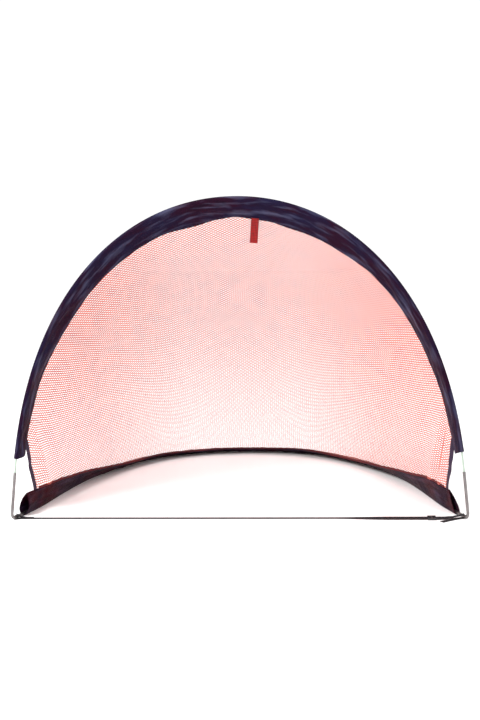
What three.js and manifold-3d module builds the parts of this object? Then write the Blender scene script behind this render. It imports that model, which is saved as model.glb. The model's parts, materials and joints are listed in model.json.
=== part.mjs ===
// A small pop-up soccer goal. Two springy hoops, one upright and one on the ground, are joined by
// two bent steel corner tubes, and a net is stretched between the fabric sleeves on the hoops.
// Millimetres. +X is to the right along the mouth, +Y points back into the goal, +Z is up.
// The origin is on the floor, under the middle of the goal.

import * as THREE from 'three'
import * as BufferGeometryUtils from 'three/addons/utils/BufferGeometryUtils.js'
import Module from 'manifold-3d'

const wasm = await Module()
wasm.setup()

// overall sizes
const goalWidth = 1200
const archTop = 833
const goalDepth = 880

// corner tubes
const tubeDiameter = 8
const uprightLength = 125
const uprightLean = 6.1
const groundLegLength = 130
const groundLegToeIn = 17.5
const cornerBendRadius = 18

// springy rods
const rodDiameter = 5
const rodSeatDepth = 40
const rodGapAtPivot = 4.8
const rodFootProud = 0.8
const jointBetweenRods = 2

// ferrules that join each hoop's two rods
const ferruleLength = 60
const ferruleWall = 1

// sleeves
const sleeveWidth = 56
const sleeveSkin = 0.8
const sleeveFlap = 1.6
const plySwell = 0.2
const pressedFlat = 0.54
const archSleeveRise = 38
const baseSleeveStart = 52
const archBandTurnAtTop = 27
const archBandTurnAtSides = 78
const baseBandTipAtCorner = 12
const baseBandTipAtBack = 72

// net, bindings and tab
const netThickness = 0.5
const netSag = 26
const netSagSlant = 0.7
const netCornerInset = 62
const netArchInset = 45
const bindingWidth = 13
const bindingThickness = 1.2
const tabWidth = 20
const tabLength = 62
const tabThickness = 1.2
const tabOffset = 56
const tabOverlap = 2

// ground strap and its slider
const strapWidth = 14
const strapThickness = 0.9
const strapBack = 25
const strapForward = 13
const strapTwist = 28
const strapOffFloor = 0.15
const strapEndOverlap = 44
const tailDrift = 40
const tailLength = 63
const sliderCentre = 503
const sliderLength = 22
const sliderBar = 3.2
const sliderRail = 1.8
const sliderThickness = 1.4

// clearances
const rodFit = 0.5
const tunnelFit = 1.1
const sewnGap = 0.5
const netGap = 1
const loopFit = 0.35
const sliderFit = 0.6

const up = new THREE.Vector3(0, 0, 1)
const back = new THREE.Vector3(0, 1, 0)
const tubeRadius = tubeDiameter / 2
const rodRadius = rodDiameter / 2
const tubeBore = rodRadius + rodFit
const tunnelRadius = tubeRadius + tunnelFit
const sleeveRadius = tunnelRadius + sleeveSkin
const hoopLevel = sleeveRadius - pressedFlat
const footX = goalWidth / 2 - tubeRadius

function degrees(value) {
  return THREE.MathUtils.degToRad(value)
}

function material(color, roughness, metalness) {
  return new THREE.MeshStandardMaterial({ color, roughness, metalness })
}

const steel = material(0x8f8986, 0.38, 0.9)
const fibreglass = material(0xdfe8dc, 0.45, 0)
const brass = material(0x9a958c, 0.4, 0.85)
const navyCloth = material(0x2c2740, 0.7, 0)
const redNet = material(0xe0564a, 0.8, 0)
const redWeave = material(0x9c2420, 0.8, 0)
const blackWebbing = material(0x15131a, 0.8, 0)
const blackPlastic = material(0x101014, 0.45, 0)

function named(name, geometry, look) {
  const mesh = new THREE.Mesh(geometry, look)
  mesh.name = name
  return mesh
}

// ---- curves that everything follows ----

// Direction of the left corner tube's two legs. The right tube is its mirror image.
const uprightDirection = new THREE.Vector3(
  Math.sin(degrees(uprightLean)), 0, Math.cos(degrees(uprightLean)))
const groundDirection = new THREE.Vector3(
  Math.sin(degrees(groundLegToeIn)), Math.cos(degrees(groundLegToeIn)), 0)
const leftCorner = new THREE.Vector3(-footX, 0, hoopLevel)
const uprightEnd = leftCorner.clone().addScaledVector(uprightDirection, uprightLength)
const groundLegEnd = leftCorner.clone().addScaledVector(groundDirection, groundLegLength)

function mirrored(points) {
  return points.map(p => new THREE.Vector3(-p.x, p.y, p.z)).reverse()
}

// A hoop runs from the left tube's mouth to the right one's: two mirror-image curves that meet,
// level, at the middle. sideReach and middleReach say how long each end keeps its direction.
function hoop(start, direction, middle, sideReach, middleReach) {
  const half = [
    start,
    start.clone().addScaledVector(direction, sideReach),
    new THREE.Vector3(-middleReach, middle.y, middle.z),
    middle
  ]
  const path = new THREE.CurvePath()
  path.add(new THREE.CubicBezierCurve3(...half))
  path.add(new THREE.CubicBezierCurve3(...mirrored(half)))
  path.arcLengthDivisions = 400
  return path
}

const archMiddle = new THREE.Vector3(0, 0, archTop)
const baseMiddle = new THREE.Vector3(0, goalDepth - sleeveRadius, hoopLevel)
const archSideReach = 0.556 * archTop
const archMiddleReach = 0.48 * footX
const baseSideReach = 0.18 * goalDepth
const baseMiddleReach = 0.8 * footX
const archHoop = hoop(uprightEnd, uprightDirection, archMiddle, archSideReach, archMiddleReach)
const baseHoop = hoop(groundLegEnd, groundDirection, baseMiddle, baseSideReach, baseMiddleReach)
const archLength = archHoop.getLength()

// The base hoop again, with both straight ground legs, for the sleeve that covers part of them.
function wholeBasePath() {
  const path = new THREE.CurvePath()
  path.add(new THREE.LineCurve3(leftCorner, groundLegEnd))
  for (const curve of baseHoop.curves) {
    path.add(curve)
  }
  path.add(new THREE.LineCurve3(...mirrored([leftCorner, groundLegEnd])))
  path.arcLengthDivisions = 400
  return path
}

const basePath = wholeBasePath()
const basePathLength = basePath.getLength()

// Share of the turn between side and middle: 0 at either end of the arch, 1 at its top.
function towardsTop(u) {
  return Math.pow(Math.sin(Math.PI * u), 2)
}

// The same for the ground hoop, whose band is tipped over for all but a short way at each corner.
function towardsBack(u) {
  return THREE.MathUtils.smoothstep(Math.min(u, 1 - u), 0.02, 0.36)
}

// Which way the arch's flat band of cloth points from the rod: inwards, and turned to the back.
function archBand(u) {
  const tangent = archHoop.getTangentAt(u)
  const inward = back.clone().cross(tangent).normalize()
  const turn = degrees(THREE.MathUtils.lerp(archBandTurnAtSides, archBandTurnAtTop,
    towardsTop(u)))
  return inward.multiplyScalar(Math.cos(turn)).addScaledVector(back, Math.sin(turn))
}

// The base band stands up from the rod at the corners and leans inwards at the back.
function baseBand(u) {
  const tangent = basePath.getTangentAt(u)
  const inward = tangent.clone().cross(up).normalize()
  const tip = degrees(THREE.MathUtils.lerp(baseBandTipAtCorner, baseBandTipAtBack,
    towardsBack(u)))
  return inward.multiplyScalar(Math.sin(tip)).addScaledVector(up, Math.cos(tip))
}

const archSleeveShare = archSleeveRise / archLength
const baseSleeveShare = baseSleeveStart / basePathLength
const netBaseShare = baseSleeveShare + netCornerInset / basePathLength
const netArchShare = archSleeveShare + netArchInset / archLength

function between(from, to, share) {
  return from + (to - from) * share
}

function archSeam(share, reach) {
  const u = between(netArchShare, 1 - netArchShare, share)
  return archHoop.getPointAt(u).addScaledVector(archBand(u), reach)
}

function baseSeam(share, reach) {
  const u = between(netBaseShare, 1 - netBaseShare, share)
  return basePath.getPointAt(u).addScaledVector(baseBand(u), reach)
}

// ---- helpers that make closed bodies ----

// Bends a straight body along a path: place(share, x, y) gives the point for each of its vertices,
// whose z runs from 0 to 1 along the path.
function bent(geometry, place) {
  const position = geometry.attributes.position
  for (let i = 0; i < position.count; i += 1) {
    const point = place(position.getZ(i), position.getX(i), position.getY(i))
    position.setXYZ(i, point.x, point.y, point.z)
  }
  geometry.deleteAttribute('uv')
  geometry.deleteAttribute('normal')
  const joined = BufferGeometryUtils.mergeVertices(geometry, 1e-4)
  joined.computeVertexNormals()
  return joined
}

function straight(shape, steps, curveSegments) {
  return new THREE.ExtrudeGeometry(shape, { depth: 1, steps, curveSegments, bevelEnabled: false })
}

function disc(radius, hole) {
  const shape = new THREE.Shape()
  shape.absarc(0, 0, radius, 0, Math.PI * 2, false)
  if (hole) {
    const bore = new THREE.Path()
    bore.absarc(0, 0, hole, 0, Math.PI * 2, true)
    shape.holes.push(bore)
  }
  return shape
}

// Even steps from one share of a curve to another.
function evenStops(from, to, steps) {
  return Array.from({ length: steps + 1 }, (unused, i) => between(from, to, i / steps))
}

// A round bar or tube that follows a flat curve, with a ring of corners at each stop. square is
// the direction that stands square to the plane of the curve.
function alongCurve(curve, square, stops, radius, hole, sides) {
  const steps = stops.length - 1
  function place(share, x, y) {
    const u = stops[Math.round(share * steps)]
    const tangent = curve.getTangentAt(u)
    const other = tangent.clone().cross(square)
    return curve.getPointAt(u).addScaledVector(square, x).addScaledVector(other, y)
  }
  return bent(straight(disc(radius, hole), steps, sides / 2), place)
}

function solid(geometry) {
  geometry.deleteAttribute('uv')
  geometry.deleteAttribute('normal')
  const joined = BufferGeometryUtils.mergeVertices(geometry, 1e-4)
  const mesh = new wasm.Mesh({
    numProp: 3,
    vertProperties: new Float32Array(joined.attributes.position.array),
    triVerts: new Uint32Array(joined.index.array)
  })
  return new wasm.Manifold(mesh)
}

function fromSolid(body) {
  const mesh = body.getMesh()
  const geometry = new THREE.BufferGeometry()
  geometry.setAttribute('position', new THREE.BufferAttribute(mesh.vertProperties, 3))
  geometry.setIndex(new THREE.BufferAttribute(mesh.triVerts, 1))
  geometry.computeVertexNormals()
  return geometry
}

// ---- corner tubes: upright leg, tight bend, leg on the ground ----

function cornerCurve() {
  const bendStart = cornerBendRadius * Math.tan(Math.PI / 4)
  const top = uprightEnd
  const above = leftCorner.clone().addScaledVector(uprightDirection, bendStart)
  const behind = leftCorner.clone().addScaledVector(groundDirection, bendStart)
  const kappa = 0.5523
  const path = new THREE.CurvePath()
  path.add(new THREE.LineCurve3(top, above))
  path.add(new THREE.CubicBezierCurve3(
    above,
    above.clone().lerp(leftCorner, kappa),
    behind.clone().lerp(leftCorner, kappa),
    behind
  ))
  path.add(new THREE.LineCurve3(behind, groundLegEnd))
  return path
}

// The section keeps one side square to the plane of the bend, so the tube doesn't twist.
function cornerTube() {
  const curve = cornerCurve()
  const flat = uprightDirection.clone().cross(groundDirection).normalize()
  const bendSteps = 6
  const lengths = curve.getCurveLengths()
  const total = lengths[2]
  const stops = [0]
  for (let i = 0; i <= bendSteps; i += 1) {
    stops.push(between(lengths[0], lengths[1], i / bendSteps) / total)
  }
  stops.push(1)
  function place(share, x, y) {
    const u = stops[Math.round(share * (stops.length - 1))]
    const tangent = curve.getTangentAt(u)
    const other = tangent.clone().cross(flat).normalize()
    return curve.getPointAt(u).addScaledVector(flat, x).addScaledVector(other, y)
  }
  return bent(straight(disc(tubeRadius, tubeBore), stops.length - 1, 7), place)
}

// ---- rods ----

// A rod's stops are close together in the ferrule, where it has to bend as the ferrule does.
function rodStops(from, length) {
  const end = 0.5 - jointBetweenRods / 2 / length
  const ferruleMouth = 0.5 - ferruleLength * 0.6 / length
  return [...evenStops(from, ferruleMouth, 22), ...evenStops(ferruleMouth, end, 3).slice(1)]
}

// The arch's rod starts just above the tube's mouth. The stretch that stays in the tube is a foot
// of its own, because the rod bends over at the mouth when the goal is folded.
function archRod() {
  const gap = rodGapAtPivot / archLength
  return alongCurve(archHoop, back, rodStops(gap, archLength), rodRadius, 0, 8)
}

function archRodFoot() {
  const low = uprightEnd.clone().addScaledVector(uprightDirection, -rodSeatDepth)
  const high = uprightEnd.clone().addScaledVector(uprightDirection, rodFootProud)
  return alongCurve(new THREE.LineCurve3(low, high), back, [0, 1], rodRadius, 0, 8)
}

function baseRod() {
  const seated = groundLegLength - rodSeatDepth
  const stops = rodStops(seated / basePathLength, basePathLength)
  return alongCurve(basePath, up, stops, rodRadius, 0, 8)
}

function ferrule(curve, square, length) {
  const half = ferruleLength / 2 / length
  const bore = rodRadius + rodFit
  const stops = evenStops(0.5 - half, 0.5 + half, 4)
  return alongCurve(curve, square, stops, bore + ferruleWall, bore, 12)
}

// ---- sleeves: a tunnel for the rod, and the doubled cloth that the net is sewn to ----

const tunnelSides = 10
const sleeveSteps = 50
const roundSteps = 6
const plySteps = 4

// Each ply has a few corners across its width, so that it can twist along the hoop.
function sleeveSection() {
  const neck = Math.asin(sleeveFlap / 2 / sleeveRadius)
  const shape = new THREE.Shape()
  const plyCorners = []
  for (let i = 1; i < plySteps; i += 1) {
    const x = between(sleeveWidth, sleeveRadius, i / plySteps)
    plyCorners.push([x, sleeveFlap / 2 + plySwell * Math.sin(Math.PI * i / plySteps)])
  }
  shape.moveTo(sleeveWidth, -sleeveFlap / 2)
  shape.lineTo(sleeveWidth, sleeveFlap / 2)
  for (const [x, y] of plyCorners) {
    shape.lineTo(x, y)
  }
  shape.absarc(0, 0, sleeveRadius, neck, Math.PI * 2 - neck, false)
  for (const [x, y] of plyCorners.reverse()) {
    shape.lineTo(x, -y)
  }
  shape.closePath()
  const corners = []
  for (let i = 0; i < tunnelSides; i += 1) {
    const turn = -Math.PI * 2 * i / tunnelSides
    corners.push(new THREE.Vector2(tunnelRadius * Math.cos(turn), tunnelRadius * Math.sin(turn)))
  }
  shape.holes.push(new THREE.Path(corners))
  return shape
}

function archSleeve() {
  function place(share, x, y) {
    const u = between(archSleeveShare, 1 - archSleeveShare, share)
    const band = archBand(u)
    const across = archHoop.getTangentAt(u).cross(band).normalize()
    return archHoop.getPointAt(u).addScaledVector(band, x).addScaledVector(across, y)
  }
  return bent(straight(sleeveSection(), sleeveSteps, roundSteps), place)
}

// The base sleeve lies on the floor, so its underside is pressed flat.
function baseSleeve() {
  function place(share, x, y) {
    const u = between(baseSleeveShare, 1 - baseSleeveShare, share)
    const band = baseBand(u)
    const across = basePath.getTangentAt(u).cross(band).normalize()
    const point = basePath.getPointAt(u).addScaledVector(band, x).addScaledVector(across, y)
    point.z = Math.max(point.z, 0)
    return point
  }
  return bent(straight(sleeveSection(), sleeveSteps, roundSteps), place)
}

// ---- net, bindings and tab ----

// A point of the net: share runs from the left corner to the right one, and rise from the base
// seam to the arch seam. The cloth hangs in a shallow curve between the two seams.
function netPoint(share, rise) {
  const reach = sleeveWidth + netGap
  const point = baseSeam(share, reach).lerp(archSeam(share, reach), rise)
  const slack = netSag * 4 * rise * (1 - rise) * Math.max(Math.sin(Math.PI * share), 0)
  const moved = slack * netSagSlant
  return point.addScaledVector(up, -moved).addScaledVector(back, -moved)
}

function netNormal(share, rise) {
  const step = 0.004
  const a = THREE.MathUtils.clamp(share, step, 1 - step)
  const b = THREE.MathUtils.clamp(rise, step, 1 - step)
  const along = netPoint(a + step, b).sub(netPoint(a - step, b))
  const rising = netPoint(a, b + step).sub(netPoint(a, b - step))
  return along.cross(rising).normalize()
}

function netSheet() {
  const box = new THREE.BoxGeometry(1, 1, 1, sleeveSteps, 14, 1)
  box.translate(0.5, 0.5, 0)
  function place(thick, share, rise) {
    return netPoint(share, rise).addScaledVector(netNormal(share, rise), thick * netThickness)
  }
  return bent(box, place)
}

// Tape folded over the net's short side edge. It lies just outside the edge, between the seams.
function netBinding() {
  const box = new THREE.BoxGeometry(1, 1, 1, 1, 5, 1)
  box.translate(0.5, 0.5, 0)
  const seamLength = archLength * (1 - 2 * netArchShare)
  function place(thick, across, rise) {
    const out = sewnGap + (1 - across) * bindingWidth
    return netPoint(-out / seamLength, rise)
      .addScaledVector(netNormal(0, rise), thick * bindingThickness)
  }
  return bent(box, place)
}

const tabShare = 0.5 + tabOffset / archLength
const tabTop = archHoop.getPointAt(tabShare).addScaledVector(archBand(tabShare), sleeveWidth)
const tabStandOff = sleeveFlap + tabThickness + sewnGap
const tabPivot = new THREE.Vector3(tabTop.x, tabTop.y - tabStandOff, tabTop.z + tabOverlap)

function topTab() {
  const box = new THREE.BoxGeometry(tabWidth, tabThickness, tabLength, 2, 1, 6)
  box.translate(tabPivot.x, tabPivot.y, tabPivot.z - tabLength / 2)
  return box
}

// ---- ground strap ----

// The strap is one piece of webbing, from the sewn end on the left to the free tail on the right.
// Each point of its route has the direction that its width lies in.
const loopRadius = tubeRadius + loopFit + strapThickness / 2
const strapLow = strapThickness / 2 + strapOffFloor
const sliderInside = strapWidth / 2 + sliderFit
const sliderDrop = strapThickness / 2 + sliderFit
const sliderHalfHeight = sliderDrop + sliderThickness
const strapRaised = (sliderInside + sliderRail) * Math.sin(degrees(strapTwist)) +
  sliderHalfHeight * Math.cos(degrees(strapTwist)) + strapOffFloor
const legAtStrapX = footX - strapBack * Math.tan(degrees(groundLegToeIn))

function strapStop(x, y, z, turn = 0) {
  const wide = back.clone().multiplyScalar(Math.cos(turn)).addScaledVector(up, Math.sin(turn))
  return { point: new THREE.Vector3(x, y, z), wide }
}

// Round one corner tube's ground leg, square to the leg: side is -1 on the left and 1 on the right.
function roundLeg(side, from, to) {
  const along = new THREE.Vector3(-side * groundDirection.x, groundDirection.y, 0)
  const outward = new THREE.Vector3(side * groundDirection.y, groundDirection.x, 0)
  const stops = []
  const count = 10
  for (let i = 0; i <= count; i += 1) {
    const turn = degrees(between(from, to, i / count))
    const point = new THREE.Vector3(side * legAtStrapX, strapBack, hoopLevel)
    point.addScaledVector(outward, Math.cos(turn) * loopRadius)
    point.addScaledVector(up, Math.sin(turn) * loopRadius)
    stops.push({ point, wide: along })
  }
  return stops
}

// The webbing turns on its edge and swings forward on its way to the slider. This is how far, from
// 0 to 1, at a place along the mouth.
function towardsSlider(x) {
  return THREE.MathUtils.smoothstep(x, 250, 400) * (1 - THREE.MathUtils.smoothstep(x, 532, 572))
}

function strapRoute() {
  const lift = strapThickness + sewnGap
  const stops = []
  stops.push(strapStop(-legAtStrapX + strapEndOverlap, strapBack, strapLow + lift))
  stops.push(strapStop(-legAtStrapX + strapEndOverlap / 2, strapBack, strapLow + lift + 0.8))
  stops.push(...roundLeg(-1, 120, -90))
  stops.push(strapStop(-legAtStrapX + strapEndOverlap / 2, strapBack, strapLow))
  stops.push(strapStop(-legAtStrapX + 60, strapBack, strapLow))
  for (let x = -400; x <= 200; x += 100) {
    stops.push(strapStop(x, strapBack, strapLow))
  }
  for (const x of [250, 280, 310, 340, 370, 400, 440, 480, 530, 540, 550, 560]) {
    const turned = towardsSlider(x)
    const raised = x > sliderCentre ? 1 : turned
    stops.push(strapStop(x, strapBack - strapForward * turned,
      between(strapLow, strapRaised, raised), degrees(strapTwist) * turned))
  }
  stops.push(...roundLeg(1, 105, -90))
  for (const share of [0.2, 0.4, 0.6, 0.8, 1]) {
    const swing = tailDrift * Math.pow(share, 1.3)
    const lift = 0.6 * share
    stops.push(strapStop(
      legAtStrapX - tailLength * share, strapBack - swing, strapLow + lift))
  }
  return stops
}

function groundStrap() {
  const stops = strapRoute()
  const last = stops.length - 1
  const box = new THREE.BoxGeometry(strapWidth, strapThickness, 1, 1, 1, last)
  box.translate(0, 0, 0.5)
  function place(share, x, y) {
    const i = Math.round(share * last)
    const before = stops[Math.max(i - 1, 0)].point
    const after = stops[Math.min(i + 1, last)].point
    const along = after.clone().sub(before).normalize()
    const wide = stops[i].wide.clone()
    wide.addScaledVector(along, -wide.dot(along)).normalize()
    const thick = along.clone().cross(wide)
    return stops[i].point.clone().addScaledVector(wide, x).addScaledVector(thick, y)
  }
  return bent(box, place)
}

function block(width, depth, height, x, y, z) {
  const box = new THREE.BoxGeometry(width, depth, height)
  box.translate(x, y, z)
  return solid(box)
}

// A flat buckle. The webbing runs over its two end bars and under its middle bar.
function slider() {
  const railPlace = sliderInside + sliderRail / 2
  const across = 2 * sliderInside + sliderRail
  const barLevel = sliderDrop + sliderThickness / 2
  const barPlace = (sliderLength - sliderBar) / 2
  let body = block(sliderLength, sliderRail, 2 * sliderHalfHeight, 0, railPlace, 0)
  body = body.add(block(sliderLength, sliderRail, 2 * sliderHalfHeight, 0, -railPlace, 0))
  body = body.add(block(sliderBar, across, sliderThickness, -barPlace, 0, -barLevel))
  body = body.add(block(sliderBar, across, sliderThickness, barPlace, 0, -barLevel))
  body = body.add(block(sliderBar, across, sliderThickness, 0, 0, barLevel))
  return fromSolid(body)
}

// ---- the goal ----

const base = new THREE.Group()
const arch = new THREE.Group()
const group = new THREE.Group()

// Turns a left-hand geometry into the right-hand one, with its faces still pointing out.
function mirrorImage(geometry) {
  const copy = geometry.clone()
  copy.scale(-1, 1, 1)
  const index = copy.index.array
  for (let i = 0; i < index.length; i += 3) {
    const first = index[i]
    index[i] = index[i + 2]
    index[i + 2] = first
  }
  copy.computeVertexNormals()
  return copy
}

function addPair(parent, name, geometry, look) {
  parent.add(named(`${name}_left`, geometry, look))
  parent.add(named(`${name}_right`, mirrorImage(geometry), look))
}

addPair(base, 'corner_tube', cornerTube(), steel)
addPair(base, 'front_rod_foot', archRodFoot(), fibreglass)
addPair(base, 'base_rod', baseRod(), fibreglass)
base.add(named('base_ferrule', ferrule(basePath, up, basePathLength), brass))
base.add(named('base_sleeve', baseSleeve(), navyCloth))
base.add(named('net', netSheet(), redNet))
addPair(base, 'net_binding', netBinding(), navyCloth)
base.add(named('ground_strap', groundStrap(), blackWebbing))

const sliderMesh = named('strap_slider', slider(), blackPlastic)
sliderMesh.position.set(sliderCentre, strapBack - strapForward, strapRaised)
sliderMesh.rotation.x = degrees(strapTwist)
base.add(sliderMesh)

addPair(arch, 'front_rod', archRod(), fibreglass)
arch.add(named('front_ferrule', ferrule(archHoop, back, archLength), brass))
arch.add(named('front_sleeve', archSleeve(), navyCloth))
arch.add(named('top_tab', topTab(), redWeave))

group.add(base)
group.add(arch)

// The origin is on the floor under the middle of the whole goal, so the mouth lies ahead of it.
group.updateMatrixWorld(true)
const extent = new THREE.Box3().setFromObject(group, true)
group.position.y = -(extent.min.y + extent.max.y) / 2
group.position.z = -extent.min.z
group.updateMatrixWorld(true)

export default group
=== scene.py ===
import json
import math

import bmesh
import bpy
import numpy as np
from mathutils import Matrix, Vector, noise


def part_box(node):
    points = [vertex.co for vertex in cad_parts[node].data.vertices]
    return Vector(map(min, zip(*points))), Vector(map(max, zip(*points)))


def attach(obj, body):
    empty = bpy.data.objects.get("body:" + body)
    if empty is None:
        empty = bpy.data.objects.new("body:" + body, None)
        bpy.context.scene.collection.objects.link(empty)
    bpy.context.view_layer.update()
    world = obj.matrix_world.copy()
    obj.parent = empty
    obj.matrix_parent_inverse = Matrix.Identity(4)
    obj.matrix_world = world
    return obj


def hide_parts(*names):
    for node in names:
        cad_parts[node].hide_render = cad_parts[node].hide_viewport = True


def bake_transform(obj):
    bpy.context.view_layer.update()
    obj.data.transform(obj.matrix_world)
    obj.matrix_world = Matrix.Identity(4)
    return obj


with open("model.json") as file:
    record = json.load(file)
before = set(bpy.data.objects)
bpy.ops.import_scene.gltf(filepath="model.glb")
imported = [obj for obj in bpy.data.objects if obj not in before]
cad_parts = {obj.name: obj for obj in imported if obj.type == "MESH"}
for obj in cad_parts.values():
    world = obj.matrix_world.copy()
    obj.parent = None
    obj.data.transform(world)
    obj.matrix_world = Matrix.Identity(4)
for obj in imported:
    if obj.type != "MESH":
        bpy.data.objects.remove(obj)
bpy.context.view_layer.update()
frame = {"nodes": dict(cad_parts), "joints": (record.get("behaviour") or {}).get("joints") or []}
print("frame loaded:", len(frame["nodes"]), "nodes")

scene = bpy.context.scene
scene.view_settings.view_transform = "Standard"
yAxis = np.array((0.0, 1.0, 0.0))
zAxis = np.array((0.0, 0.0, 1.0))
mm = 0.001

foldHinge = next(j for j in frame["joints"] if j["name"] == "arch_fold")
tabHinge = next(j for j in frame["joints"] if j["name"] == "tab_swing")

# the two hoops and the corner tubes, as the model has them
goal = {
    "mouthY": foldHinge["pos_m"][1],
    "footX": 0.596,
    "hoopLevel": 5.36 * mm,
    "archTop": 0.833,
    "depth": 0.880,
    "uprightLength": 0.125,
    "uprightLean": 6.1,
    "legLength": 0.130,
    "legToeIn": 17.5,
    "bendRadius": 0.018,
    "tubeRadius": 4 * mm,
    "tubeBore": 3 * mm,
    "rodRadius": 2.5 * mm,
    "rodSeat": 0.040,
    "backInset": 5.9 * mm,     # the ground rod runs this far inside the depth
    "sideReach": (0.556, 0.18),    # how straight the hoops leave the tubes, arch and ground
    "middleReach": (0.48, 0.8),    # how flat they are at their middles
}


def unit(v):
    return v / np.linalg.norm(v, axis=-1, keepdims=True)


def lerp(a, b, share):
    return a + (b - a) * share


def smoothStep(x, low, high):
    t = np.clip((x - low) / (high - low), 0, 1)
    return t * t * (3 - 2 * t)


def ripple(x, y=0.0, z=0.0):
    # smooth noise from -1 to 1, always the same
    return noise.noise(Vector((x, y, z))) * 1.6


def bezier(p0, p1, p2, p3, count=260):
    t = np.linspace(0, 1, count)[:, None]
    return (1 - t) ** 3 * p0 + 3 * (1 - t) ** 2 * t * p1 + 3 * (1 - t) * t * t * p2 + t ** 3 * p3


def makePath(points):
    steps = np.linalg.norm(np.diff(points, axis=0), axis=1)
    keep = np.concatenate([[True], steps > 1e-9])
    points = points[keep]
    along = np.concatenate([[0], np.cumsum(np.linalg.norm(np.diff(points, axis=0), axis=1))])
    return {"points": points, "along": along, "length": along[-1]}


def pointAt(path, u):
    s = np.asarray(u, float) * path["length"]
    return np.stack([np.interp(s, path["along"], path["points"][:, k]) for k in range(3)], axis=-1)


def headingAt(path, u):
    step = 0.002 / path["length"]
    low = np.clip(np.asarray(u, float) - step, 0, 1)
    high = np.clip(np.asarray(u, float) + step, 0, 1)
    return unit(pointAt(path, high) - pointAt(path, low))


def mirrored(points):
    return (points * np.array((-1, 1, 1)))[::-1]


def addObject(name, vertices, faces, material, uvs=None, smooth=True):
    mesh = bpy.data.meshes.new(name)
    mesh.from_pydata([tuple(v) for v in vertices], [], faces)
    if uvs is not None:
        layer = mesh.uv_layers.new(name="cloth")
        layer.data.foreach_set("uv", np.asarray(uvs, np.float32).ravel())
    mesh.polygons.foreach_set("use_smooth", [smooth] * len(mesh.polygons))
    mesh.materials.append(material)
    mesh.update()
    obj = bpy.data.objects.new(name, mesh)
    scene.collection.objects.link(obj)
    return obj


def loftFaces(rows, columns, closed, uvs, capEnds=False, first=0):
    # quads between rings of points, with their corners' places in the cloth
    faces, corners = [], []
    for i in range(rows - 1):
        for j in range(columns if closed else columns - 1):
            k = (j + 1) % columns
            faces.append((first + i * columns + j, first + i * columns + k,
                          first + (i + 1) * columns + k, first + (i + 1) * columns + j))
            corners += [uvs[i, j], uvs[i, j + 1], uvs[i + 1, j + 1], uvs[i + 1, j]]
    if capEnds:
        last = first + (rows - 1) * columns
        faces.append(tuple(first + j for j in reversed(range(columns))))
        corners += [uvs[0, j] for j in reversed(range(columns))]
        faces.append(tuple(last + j for j in range(columns)))
        corners += [uvs[rows - 1, j] for j in range(columns)]
    return faces, corners


def loft(name, rings, material, closed=True, capEnds=False, uvs=None):
    rows, columns = rings.shape[:2]
    if uvs is None:
        centres = rings.mean(axis=1)
        along = np.concatenate([[0], np.cumsum(np.linalg.norm(np.diff(centres, axis=0), axis=1))])
        wrapped = np.concatenate([rings, rings[:, :1]], axis=1)
        around = np.concatenate([np.zeros((rows, 1)), np.cumsum(
            np.linalg.norm(np.diff(wrapped, axis=1), axis=2), axis=1)], axis=1)
        uvs = np.stack([np.repeat(along[:, None], columns + 1, axis=1), around], axis=2)
    faces, corners = loftFaces(rows, columns, closed, uvs, capEnds)
    return addObject(name, rings.reshape(-1, 3), faces, material, corners)


def faceOutwards(obj):
    work = bmesh.new()
    work.from_mesh(obj.data)
    bmesh.ops.recalc_face_normals(work, faces=work.faces)
    work.to_mesh(obj.data)
    work.free()


def applyModifiers(obj):
    bpy.context.view_layer.update()
    depsgraph = bpy.context.evaluated_depsgraph_get()
    mesh = bpy.data.meshes.new_from_object(obj.evaluated_get(depsgraph))
    obj.modifiers.clear()
    obj.data = mesh
    return obj


def giveThickness(obj, thickness, offset=-1.0):
    faceOutwards(obj)
    solid = obj.modifiers.new("cloth thickness", "SOLIDIFY")
    solid.thickness = thickness
    solid.offset = offset
    solid.use_rim = True
    return applyModifiers(obj)


def sweepTube(name, points, radius, sides, material, bore=None, square=None):
    # a round bar along points; with a bore it is a tube with a small rounded mouth at both ends
    path = makePath(points)
    stops = path["along"] / path["length"]
    centres = path["points"]
    ahead = headingAt(path, stops)
    side = unit(np.cross(ahead, square)) if square is not None else unit(np.cross(ahead, zAxis))
    other = np.cross(ahead, side)
    turn = np.linspace(0, 2 * math.pi, sides, endpoint=False)

    def ring(i, r, push=0.0):
        return (centres[i] + ahead[i] * push
                + r * (np.cos(turn)[:, None] * side[i] + np.sin(turn)[:, None] * other[i]))

    last = len(centres) - 1
    ease = radius * 0.12
    rings = [ring(0, radius - ease, 0.0), ring(0, radius, ease)]
    rings += [ring(i, radius) for i in range(1, last)]
    rings += [ring(last, radius, -ease), ring(last, radius - ease, 0.0)]
    if bore:
        rings.append(ring(last, bore, 0.0))
        rings += [ring(i, bore) for i in reversed(range(1, last))]
        rings += [ring(0, bore, 0.0), ring(0, radius - ease, 0.0)]
    obj = loft(name, np.array(rings), material, capEnds=not bore)
    if bore:
        work = bmesh.new()
        work.from_mesh(obj.data)
        bmesh.ops.remove_doubles(work, verts=work.verts, dist=1e-6)
        work.to_mesh(obj.data)
        work.free()
    faceOutwards(obj)
    return obj


def ribbonSection(width, thickness, plyPoints=8):
    # a flat tape's section with rounded edges
    half = width / 2 - thickness / 2
    top = [(x, thickness / 2) for x in np.linspace(half, -half, plyPoints)]
    bottom = [(-x, -y) for x, y in top]
    edges = [(math.cos(a) * thickness / 2, math.sin(a) * thickness / 2)
             for a in (math.radians(d) for d in (135, 180, 225))]
    left = [(-half + x, y) for x, y in edges]
    right = [(-x, -y) for x, y in left]
    return np.array(top + left + bottom + right)


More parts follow.
